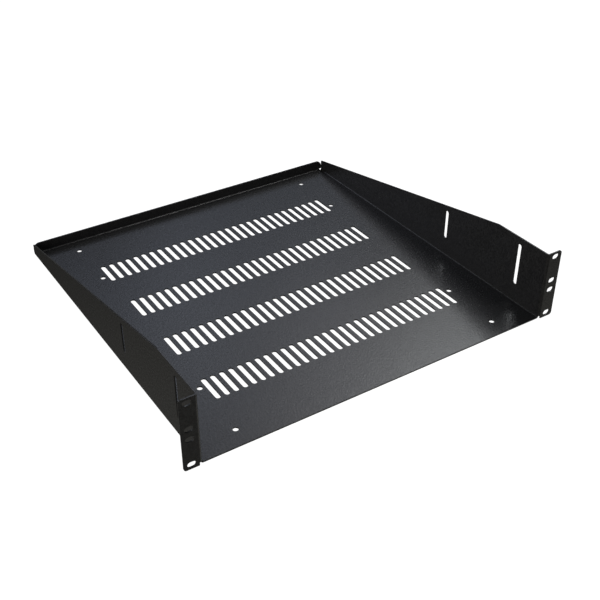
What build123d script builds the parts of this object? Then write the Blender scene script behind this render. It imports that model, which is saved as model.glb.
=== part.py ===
from build123d import *
import os

# A 19-inch rack shelf, two rack units high, cut and folded from one sheet of steel.
# Sizes are in millimetres. X runs across the rack, Y towards its back and Z up. The
# shelf is drawn from the front face of its ears and the underside of its tray, then
# moved so that the origin is midway between the holes of its ears, on the rear face
# that seats on the rack.

# The sheet and its folds
sheet = 1.6
fold_inner_radius = 1.4

# The tray, its two walls and its lip
body_width = 444.5
body_depth = 457.2
tray_front_setback = 1.5
wall_height = 87.4
wall_level_length = 81.3
lip_height = 15.3

# How the walls and the lip end at the back corners
wall_end_corner_radius = 1.0
lip_end_inset = 0.6
lip_corner_radius = 8.0
back_relief_radius = 0.8

# The ears
ear_projection = 19.05
ear_drop = 0.3
ear_corner_radius = 3.3
ear_notch_past_fold = 0.3

# The holes in the ears
ear_hole_length = 9.5
ear_hole_height = 6.6
ear_hole_side_inset = 8.75
ear_hole_end_inset = 5.75
ear_middle_pair_gap = 12.7

# The vent slots in the tray, with ends of straight cuts that turn by this many degrees
slot_width = 6.0
slot_length = 38.0
slot_end_turn = 30.0
slot_pitch = 11.1125
slot_row_pitch = 88.9
slot_side_margin = 58.0
slot_end_margin = 70.0

# The round tie holes in the tray
tie_hole_diameter = 6.35
tie_hole_past_slots = 9.65
tie_hole_end_inset = 24.6
tie_hole_pair_gap = 76.2

# The upright slots in the walls
wall_slot_width = 5.8
wall_slot_foot_height = 24.4
wall_slot_setback = 44.5
wall_slot_spacing = 127.0
wall_slot_front_head_room = 8.5
wall_slot_rear_head_room = 7.0

# Sizes that follow from the ones above
fold_outer_radius = fold_inner_radius + sheet
fold_middle_radius = fold_inner_radius + sheet / 2
half_width = body_width / 2
half_panel = half_width + ear_projection
tray_end = body_depth - sheet
back_fold_start = body_depth - fold_outer_radius
mid_depth = tray_end / 2
ear_middle = (wall_height - ear_drop) / 2
slot_columns = int((body_width - 2 * slot_side_margin) / slot_pitch) + 1
slot_rows = int((tray_end - 2 * slot_end_margin) / slot_row_pitch) + 1


def wall_top(y):
    """Height of a wall's upper edge: level at the front, then straight down to the lip."""
    slope = (wall_height - lip_height) / (body_depth - wall_level_length)
    return wall_height - slope * max(0.0, y - wall_level_length)


def folded_flange(start, heading, end):
    """Section of a fold that turns left from its start, and of the flat that runs on to its end."""
    fold = JernArc(start, heading, fold_middle_radius, 90)
    return trace(fold + Line(fold @ 1, end), line_width=sheet)


def both_sides(right):
    """A feature of the right side and its mirror image on the left."""
    return right + mirror(right, Plane.YZ)


def side_outline():
    """Tray and walls seen from the side, from the fold of the ear to the fold of the lip."""
    outline = make_face(
        Polyline(
            (tray_front_setback, 0),
            (tray_front_setback, fold_outer_radius),
            (fold_outer_radius, fold_outer_radius),
            (fold_outer_radius, wall_height),
            (wall_level_length, wall_height),
            (back_fold_start, wall_top(back_fold_start)),
            (back_fold_start, 0),
            close=True,
        )
    )
    end_corner = outline.vertices().group_by(Axis.X)[-1].sort_by(Axis.Y)[-1]
    return fillet(end_corner, wall_end_corner_radius)


def tray_and_walls():
    """The channel of tray and walls, cut to its side outline."""
    side, floor = half_width - sheet / 2, sheet / 2
    corners = (-side, wall_height), (-side, floor), (side, floor), (side, wall_height)
    section = trace(FilletPolyline(*corners, radius=fold_middle_radius), line_width=sheet)
    channel = extrude(Plane.XZ * section, amount=-back_fold_start)
    return channel & extrude(Plane.YZ * side_outline(), amount=half_width, both=True)


def back_lip():
    """The low lip folded up along the back, with a large round corner at each end."""
    section = folded_flange((back_fold_start, sheet / 2), (1, 0), (body_depth - sheet / 2, lip_height))
    lip = extrude(Plane.YZ * section, amount=half_width - lip_end_inset, both=True)
    top_corners = lip.edges().filter_by(Axis.Y).group_by(Axis.Z)[-1]
    return fillet(top_corners, lip_corner_radius)


def back_relief():
    """A round opening where the folds of the right wall and the lip would meet."""
    corner = Rectangle(fold_outer_radius, fold_outer_radius, align=Align.MIN)
    outline = Circle(back_relief_radius) + corner
    return extrude(Pos(half_width - fold_outer_radius, back_fold_start) * outline, amount=fold_outer_radius)


def ear():
    """The right ear, folded outwards from its wall and notched clear of the fold of the tray."""
    side = half_width - sheet / 2
    section = folded_flange((side, fold_outer_radius), (0, -1), (half_panel, sheet / 2))
    plate = extrude(Pos(0, 0, -ear_drop) * section, amount=ear_drop + wall_height)
    outer_corners = plate.edges().filter_by(Axis.Y).group_by(Axis.X)[-1]
    plate = fillet(outer_corners, ear_corner_radius)
    reach = fold_outer_radius + ear_notch_past_fold
    notch = Pos(half_width - sheet, 0, -ear_drop) * Rectangle(reach, fold_outer_radius, align=Align.MIN)
    return plate - extrude(notch, amount=ear_drop + reach)


def slot_with_cut_ends():
    """A vent slot: each round end is made of short straight cuts."""
    end = RegularPolygon(slot_width / 2, 2 * round(180 / slot_end_turn))
    straight = slot_length - slot_width
    return Rectangle(slot_width, straight) + Pos(0, straight / 2) * end + Pos(0, -straight / 2) * end


def vent_slots():
    """Rows of slots across the tray, as many as fit between its margins."""
    grid = GridLocations(slot_pitch, slot_row_pitch, slot_columns, slot_rows)
    return extrude(Pos(0, mid_depth) * Sketch(grid * slot_with_cut_ends()), amount=sheet)


def tie_holes():
    """Round holes outside the slots: four beside the end rows and four near the corners."""
    x = slot_pitch * (slot_columns - 1) / 2 + tie_hole_past_slots
    corner_y = mid_depth - tie_hole_end_inset
    slot_y = corner_y - tie_hole_pair_gap
    hole = Circle(tie_hole_diameter / 2)
    right = [Pos(x, y) * hole for y in (-corner_y, -slot_y, slot_y, corner_y)]
    return both_sides(extrude(Pos(0, mid_depth) * Sketch(right), amount=sheet))


def wall_slot(y, head_room):
    """An upright slot through both walls at y, ending below the wall's upper edge."""
    foot, head = wall_slot_foot_height, wall_top(y) - head_room
    slot = SlotOverall(head - foot, wall_slot_width, rotation=90)
    return extrude(Plane.YZ * Pos(y, (foot + head) / 2) * slot, amount=half_width, both=True)


def ear_holes():
    """Four level slots through the right ear, on the rack's spacing."""
    end_reach = (wall_height + ear_drop) / 2 - ear_hole_end_inset
    pair_reach = ear_middle_pair_gap / 2
    hole = SlotOverall(ear_hole_length, ear_hole_height)
    x = half_panel - ear_hole_side_inset
    holes = [Pos(x, ear_middle + z) * hole for z in (-end_reach, -pair_reach, pair_reach, end_reach)]
    return extrude(Plane.XZ * Sketch(holes), amount=-sheet)


def folded_shelf():
    """The whole shelf as one solid."""
    shelf = tray_and_walls() + back_lip() + both_sides(ear())
    shelf -= both_sides(back_relief())
    shelf -= wall_slot(wall_slot_setback, wall_slot_front_head_room)
    shelf -= wall_slot(wall_slot_setback + wall_slot_spacing, wall_slot_rear_head_room)
    shelf -= vent_slots() + tie_holes() + both_sides(ear_holes())
    return shelf


os.makedirs("parts", exist_ok=True)
shelf = Pos(0, -sheet, -ear_middle) * folded_shelf()
export_step(shelf, "parts/folded_shelf.step")
print("solids", len(shelf.solids()), "volume mm3", round(shelf.volume), "size", shelf.bounding_box().size)
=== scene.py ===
# %% [markdown]
# This scene dresses a rack shelf: one sheet of steel, punched, folded and powder coated
# black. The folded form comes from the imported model, and stays as it is. What is left
# for Blender is what the eye reads as paint on steel: the finish, and the light on it.

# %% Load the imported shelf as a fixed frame
import math

import bpy
import numpy as np
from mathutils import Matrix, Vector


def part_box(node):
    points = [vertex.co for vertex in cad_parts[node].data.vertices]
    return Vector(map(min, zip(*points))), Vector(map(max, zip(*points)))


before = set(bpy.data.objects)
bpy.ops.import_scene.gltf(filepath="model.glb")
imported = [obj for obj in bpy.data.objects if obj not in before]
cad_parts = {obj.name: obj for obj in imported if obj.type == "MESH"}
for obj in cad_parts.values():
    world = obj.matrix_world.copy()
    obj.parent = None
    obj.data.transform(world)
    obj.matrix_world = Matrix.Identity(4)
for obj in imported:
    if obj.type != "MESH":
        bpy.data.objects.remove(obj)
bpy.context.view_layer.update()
MM_PER_METRE = 1000.0
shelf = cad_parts["folded_shelf"]
low, high = (np.array(corner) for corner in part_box("folded_shelf"))
print("shelf size in mm", np.round((high - low) * MM_PER_METRE, 1))

# %% [markdown]
# The camera stands where the photographer stood: to the left of the shelf and above it.
# Its place and its two angles were solved from the shelf's own edges, so that every edge
# falls where the photograph has it. A lens of 58 mm on a 36 mm sensor is a short
# telephoto, so the shelf's far edge is only a little smaller than its near edge.

# %% Camera at the photograph's viewing angle
CAMERA_PLACE = (-0.5106, -0.6217, 0.6120)
CAMERA_AZIMUTH = math.radians(-32.876)
CAMERA_ELEVATION = math.radians(34.414)
LENS_MM, SENSOR_MM = 58.01, 36.0
NEAREST, FARTHEST = 0.05, 50.0


def photograph_camera():
    """A camera that looks down by its elevation and is turned about Z by its azimuth."""
    data = bpy.data.cameras.new("photograph_camera")
    data.lens, data.sensor_width = LENS_MM, SENSOR_MM
    data.clip_start, data.clip_end = NEAREST, FARTHEST
    camera = bpy.data.objects.new("photograph_camera", data)
    camera.location = CAMERA_PLACE
    camera.rotation_euler = (math.pi / 2 - CAMERA_ELEVATION, 0.0, CAMERA_AZIMUTH)
    bpy.context.scene.collection.objects.link(camera)
    bpy.context.scene.camera = camera


photograph_camera()
print("camera at", CAMERA_PLACE, "lens", LENS_MM, "mm")


# %% [markdown]
# Colours are written as sRGB hex values, the way they are read from a picture. Blender's
# shaders work in linear light, so one function turns each value to linear. Another empties
# the node tree of a new material or room, and the last one adds a shader node to a tree,
# sets its values, joins its inputs and fills its ramp.

# %% Helpers for colours and shader nodes
def linear(hex_colour):
    """Linear RGBA of an sRGB hex colour: each channel follows the sRGB curve."""
    digits = hex_colour.lstrip("#")
    srgb = np.array([int(digits[i : i + 2], 16) for i in (0, 2, 4)]) / 255.0
    rgb = np.where(srgb <= 0.04045, srgb / 12.92, ((srgb + 0.055) / 1.055) ** 2.4)
    return (*rgb.tolist(), 1.0)


def empty_tree(owner):
    """The node tree of a new material or world, with nothing in it."""
    owner.use_nodes = True
    owner.node_tree.nodes.clear()
    return owner.node_tree


def add_node(tree, kind, links=None, stops=(), **settings):
    """Adds a node: links feed its inputs, stops fill its ramp, settings are its values."""
    node = tree.nodes.new(kind)
    for name, value in settings.items():
        if hasattr(node, name):
            setattr(node, name, value)
        else:
            node.inputs[name.replace("_", " ")].default_value = value
    for name, socket in (links or {}).items():
        tree.links.new(socket, node.inputs[name])
    if stops:
        ramp = node.color_ramp.elements
        ramp[0].position, ramp[0].color = stops[0]
        ramp[1].position, ramp[1].color = stops[-1]
        for position, colour in stops[1:-1]:
            ramp.new(position).color = colour
    return node


print("mid grey in linear light", np.round(linear("#808080"), 3))

# %% [markdown]
# Powder coat is a dry paint. Charged powder clings to the steel and is baked until it
# melts into a skin about 0.08 mm thick. What the eye reads as powder coat is in its
# height: the skin keeps a fine grain, lies in long shallow waves like orange peel, and
# pulls round over every cut edge. A picture of paint could give the grain, but it would
# stretch over the folds and repeat. Noise in Object coordinates has one scale all over
# the sheet, on its cut edges too, and a Bevel node turns the light on the edges as a round
# skin does, while the mesh stays as it is.

# %% Height of the powder coat
EDGE_RADIUS, EDGE_SAMPLES = 0.0004, 8
COAT_LAYERS = {
    # millimetres across, depth in metres, and the noise's detail: each bump's normal feeds
    # the next, so the coarsest comes first
    "peel": (12.0, 0.000060, 1.0),
    # too fine to show in the photograph's view, so a coarser one stands for it there
    "coarse grain": (2.2, 0.000095, 0.0),
    # the real grain, which shows only from close by
    "fine grain": (0.6, 0.000016, 0.0),
}


def coat_height(tree):
    """The skin's normal, with each layer of noise laid over the last, and the noises."""
    place = add_node(tree, "ShaderNodeTexCoord").outputs["Object"]
    edge = add_node(tree, "ShaderNodeBevel", samples=EDGE_SAMPLES, Radius=EDGE_RADIUS)
    normal, heights = edge.outputs["Normal"], {}
    for name, (across_mm, depth, detail) in COAT_LAYERS.items():
        noise = add_node(
            tree,
            "ShaderNodeTexNoise",
            {"Vector": place},
            Scale=MM_PER_METRE / across_mm,
            Detail=detail,
        )
        heights[name] = noise.outputs["Fac"]
        bump = add_node(
            tree, "ShaderNodeBump", {"Height": heights[name], "Normal": normal}, Distance=depth
        )
        normal = bump.outputs["Normal"]
    return normal, heights


print("layers of the coat", list(COAT_LAYERS))

# %% [markdown]
# The coat is a plastic, so it is not metallic and its index of refraction is about 1.5.
# Its black pigment leaves hardly any diffuse light, so the sheet is seen by its satin
# reflections. The crests of the grain are a little paler and glossier than its hollows,
# and that gives the eye a faint sparkle where a light is mirrored and an even black where
# none is. A clear coat over a black base could be used, but this paint has one layer.

# %% Black powder coat on steel sheet
# values of the coarse grain's noise in its hollows and on its crests
HOLLOW, CREST = 0.30, 0.70
COAT_TONES = ((HOLLOW, linear("#1f1f20")), (CREST, linear("#2f2f30")))
HOLLOW_ROUGHNESS, CREST_ROUGHNESS = 0.33, 0.27
COAT_IOR = 1.5


def powder_coated_steel():
    """A black plastic skin whose tone, roughness and height follow the baked grain."""
    material = bpy.data.materials.new("black_powder_coated_steel")
    tree = empty_tree(material)
    normal, heights = coat_height(tree)
    grain = heights["coarse grain"]
    tone = add_node(tree, "ShaderNodeValToRGB", {"Fac": grain}, COAT_TONES)
    gloss = add_node(
        tree,
        "ShaderNodeMapRange",
        {"Value": grain},
        From_Min=HOLLOW,
        From_Max=CREST,
        To_Min=HOLLOW_ROUGHNESS,
        To_Max=CREST_ROUGHNESS,
    )
    skin = add_node(
        tree,
        "ShaderNodeBsdfPrincipled",
        {"Base Color": tone.outputs["Color"], "Roughness": gloss.outputs[0], "Normal": normal},
        IOR=COAT_IOR,
    )
    add_node(tree, "ShaderNodeOutputMaterial", {"Surface": skin.outputs["BSDF"]})
    return material


shelf.data.materials.clear()
shelf.data.materials.append(powder_coated_steel())
print("finish", shelf.data.materials[0].name)

# %% [markdown]
# The photograph has a clean white ground with no shadow on it, also where it shows
# through the slots. White paper under strong lamps could give that, but its light would
# show in the shelf. A pale floor that glows by itself, like a lit table, gives it at any
# strength. It takes little other light, so no shadow shows on it, and it is kept out of
# the shelf's reflections and shade, because the upright faces mirror a dim room.

# %% Pale floor
FLOOR_GAP = 0.0002
FLOOR_SIZE = 12.0
FLOOR_GLOW = 1.04
FLOOR_TONES = ((0.0, linear("#fbfbfb")), (1.0, linear("#ffffff")))
FLOOR_GREY = linear("#6a6a6a")
FLOOR_ROUGHNESS = 0.9
CLOUDS_PER_METRE = 3.0


def lit_floor_finish():
    """A matt grey sheet that glows almost white, in faint clouds."""
    material = bpy.data.materials.new("pale_lit_floor")
    tree = empty_tree(material)
    place = add_node(tree, "ShaderNodeTexCoord").outputs["Object"]
    cloud = add_node(tree, "ShaderNodeTexNoise", {"Vector": place}, Scale=CLOUDS_PER_METRE)
    glow = add_node(tree, "ShaderNodeValToRGB", {"Fac": cloud.outputs["Fac"]}, FLOOR_TONES)
    skin = add_node(
        tree,
        "ShaderNodeBsdfPrincipled",
        {"Emission Color": glow.outputs["Color"]},
        Base_Color=FLOOR_GREY,
        Roughness=FLOOR_ROUGHNESS,
        Emission_Strength=FLOOR_GLOW,
    )
    add_node(tree, "ShaderNodeOutputMaterial", {"Surface": skin.outputs["BSDF"]})
    return material


def pale_floor():
    """A square sheet of pale floor just under the shelf's lowest point."""
    z = float(low[2]) - FLOOR_GAP
    corners = np.array([(-1, -1), (1, -1), (1, 1), (-1, 1)]) * FLOOR_SIZE / 2
    mesh = bpy.data.meshes.new("pale_floor")
    mesh.from_pydata([(x, y, z) for x, y in corners], [], [(0, 1, 2, 3)])
    mesh.materials.append(lit_floor_finish())
    floor = bpy.data.objects.new("pale_floor", mesh)
    bpy.context.scene.collection.objects.link(floor)
    floor.visible_glossy = False
    floor.visible_diffuse = False


pale_floor()
print("floor", FLOOR_SIZE, "m wide,", FLOOR_GAP * MM_PER_METRE, "mm under the shelf")

# %% [markdown]
# Black satin paint shows its light by reflection, so the light is placed where the eye
# finds it mirrored. The camera looks down on the tray from the front left, and the tray
# mirrors what stands behind it on the right. One large lamp could stand there, but the
# sheen in the photograph grows stronger and warmer to the right. So a curved screen of
# soft panels stands there, each with its own strength and colour. The right wall cuts the
# screen off as a soft dark band beside its fold. The other panels each serve one place.

# %% Soft studio light
PANEL_DISTANCE = 2.2
WIDE, SCREEN, NARROW = 1.1, 0.8, 0.5
PANELS = {
    # azimuth and elevation in degrees: watts, colour and width in metres
    # the screen that the tray mirrors, from its right to its left
    (120, 45): (8.8, "#f9feff", SCREEN),
    (135, 45): (2.4, "#fcfaff", SCREEN),
    (150, 45): (0.8, "#fcfdff", SCREEN),
    (150, 32): (1.1, "#dbe7ff", SCREEN),
    (168, 40): (1.95, "#e0e9ff", SCREEN),
    # the thin bright line along the fold of the lip
    (90, 66): (11.0, "#ffffff", NARROW),
    # the line along the fold of the right wall
    (210, 30): (6.2, "#eaeeff", WIDE),
    # a little light in the right wall and in the dark band
    (240, 45): (0.9, "#f4fff0", WIDE),
    (250, 80): (1.4, "#ffffff", WIDE),
    # the outer wall at the left, the ears and the lip
    (300, 15): (18.5, "#fffaf2", WIDE),
    (30, 15): (1.9, "#f3f9ff", WIDE),
}


def soft_panel(azimuth, elevation, watts, hex_colour, width):
    """A square area light on a sphere about the shelf, turned to face its middle."""
    data = bpy.data.lights.new(f"soft_panel_{azimuth}_{elevation}", "AREA")
    data.shape, data.size = "SQUARE", width
    data.energy, data.color = watts, linear(hex_colour)[:3]
    a, e = math.radians(azimuth), math.radians(elevation)
    way = (math.sin(a) * math.cos(e), -math.cos(a) * math.cos(e), math.sin(e))
    panel = bpy.data.objects.new(data.name, data)
    panel.location = (low + high) / 2 + np.array(way) * PANEL_DISTANCE
    panel.rotation_euler = (math.pi / 2 - e, 0.0, a)
    bpy.context.scene.collection.objects.link(panel)


for angles, settings in PANELS.items():
    soft_panel(*angles, *settings)
print(len(PANELS), "soft panels")

# %% [markdown]
# The room is what the upright faces mirror. High up it is dark. Round the horizon runs a
# dim belt, as far pale walls give, and it lifts the sides and the back of the shelf. Below
# it lies a floor tone, strongest close under the shelf and at the right, which the ears
# and the outer wall mirror. A picture of a studio could give all this, but two ramps over
# the direction of the light do it with no picture. An eye that looks straight at the room
# sees plain white, so that the ground stays white in every view.

# %% Studio air
AIR_COLOUR = linear("#fffdf3")
SEEN_COLOUR, SEEN_STRENGTH = linear("#ffffff"), 1.0
# the floor tone grows between these two X parts of the light's direction
LEFT_END, RIGHT_END = 0.30, 0.66
FLOOR_TONE_LEFT, FLOOR_TONE_RIGHT = 0.13, 0.52
# both ramps run down between these two Z parts: position and strength of each stop
TOP_END, LOW_END = 0.35, -0.65
FLOOR_RAMP = ((0.30, 0.0), (0.40, 0.08), (0.80, 0.12), (1.0, 1.0))
BELT_RAMP = ((0.23, 0.0), (0.36, 0.38), (0.50, 0.38), (0.66, 0.0))


def room_strength(tree):
    """The floor tone, grown to the right, plus the belt, from the light's direction."""
    way = add_node(tree, "ShaderNodeTexCoord").outputs["Generated"]
    parts = add_node(tree, "ShaderNodeSeparateXYZ", {"Vector": way})
    side = add_node(
        tree,
        "ShaderNodeMapRange",
        {"Value": parts.outputs["X"]},
        From_Min=LEFT_END,
        From_Max=RIGHT_END,
        To_Min=FLOOR_TONE_LEFT,
        To_Max=FLOOR_TONE_RIGHT,
    )
    fall = add_node(
        tree,
        "ShaderNodeMapRange",
        {"Value": parts.outputs["Z"]},
        From_Min=TOP_END,
        From_Max=LOW_END,
    )
    tones = []
    for ramp in (FLOOR_RAMP, BELT_RAMP):
        stops = [(position, (tone, tone, tone, 1.0)) for position, tone in ramp]
        tones.append(add_node(tree, "ShaderNodeValToRGB", {"Fac": fall.outputs[0]}, stops))
    total = add_node(
        tree,
        "ShaderNodeMath",
        {0: tones[0].outputs["Color"], 1: side.outputs[0], 2: tones[1].outputs["Color"]},
        operation="MULTIPLY_ADD",
    )
    return total.outputs[0]


def studio_air():
    """A room that the shelf mirrors, and plain white for an eye that looks at it."""
    world = bpy.data.worlds.new("studio_air")
    tree = empty_tree(world)
    strength = room_strength(tree)
    room = add_node(tree, "ShaderNodeBackground", {"Strength": strength}, Color=AIR_COLOUR)
    plain = add_node(tree, "ShaderNodeBackground", Color=SEEN_COLOUR, Strength=SEEN_STRENGTH)
    eye = add_node(tree, "ShaderNodeLightPath").outputs["Is Camera Ray"]
    seen = add_node(
        tree,
        "ShaderNodeMixShader",
        {0: eye, 1: room.outputs["Background"], 2: plain.outputs["Background"]},
    )
    add_node(tree, "ShaderNodeOutputWorld", {"Surface": seen.outputs["Shader"]})
    bpy.context.scene.world = world


studio_air()
bpy.context.scene.view_settings.view_transform = "Standard"
print("floor tone from", FLOOR_TONE_LEFT, "at the left to", FLOOR_TONE_RIGHT, "at the right")
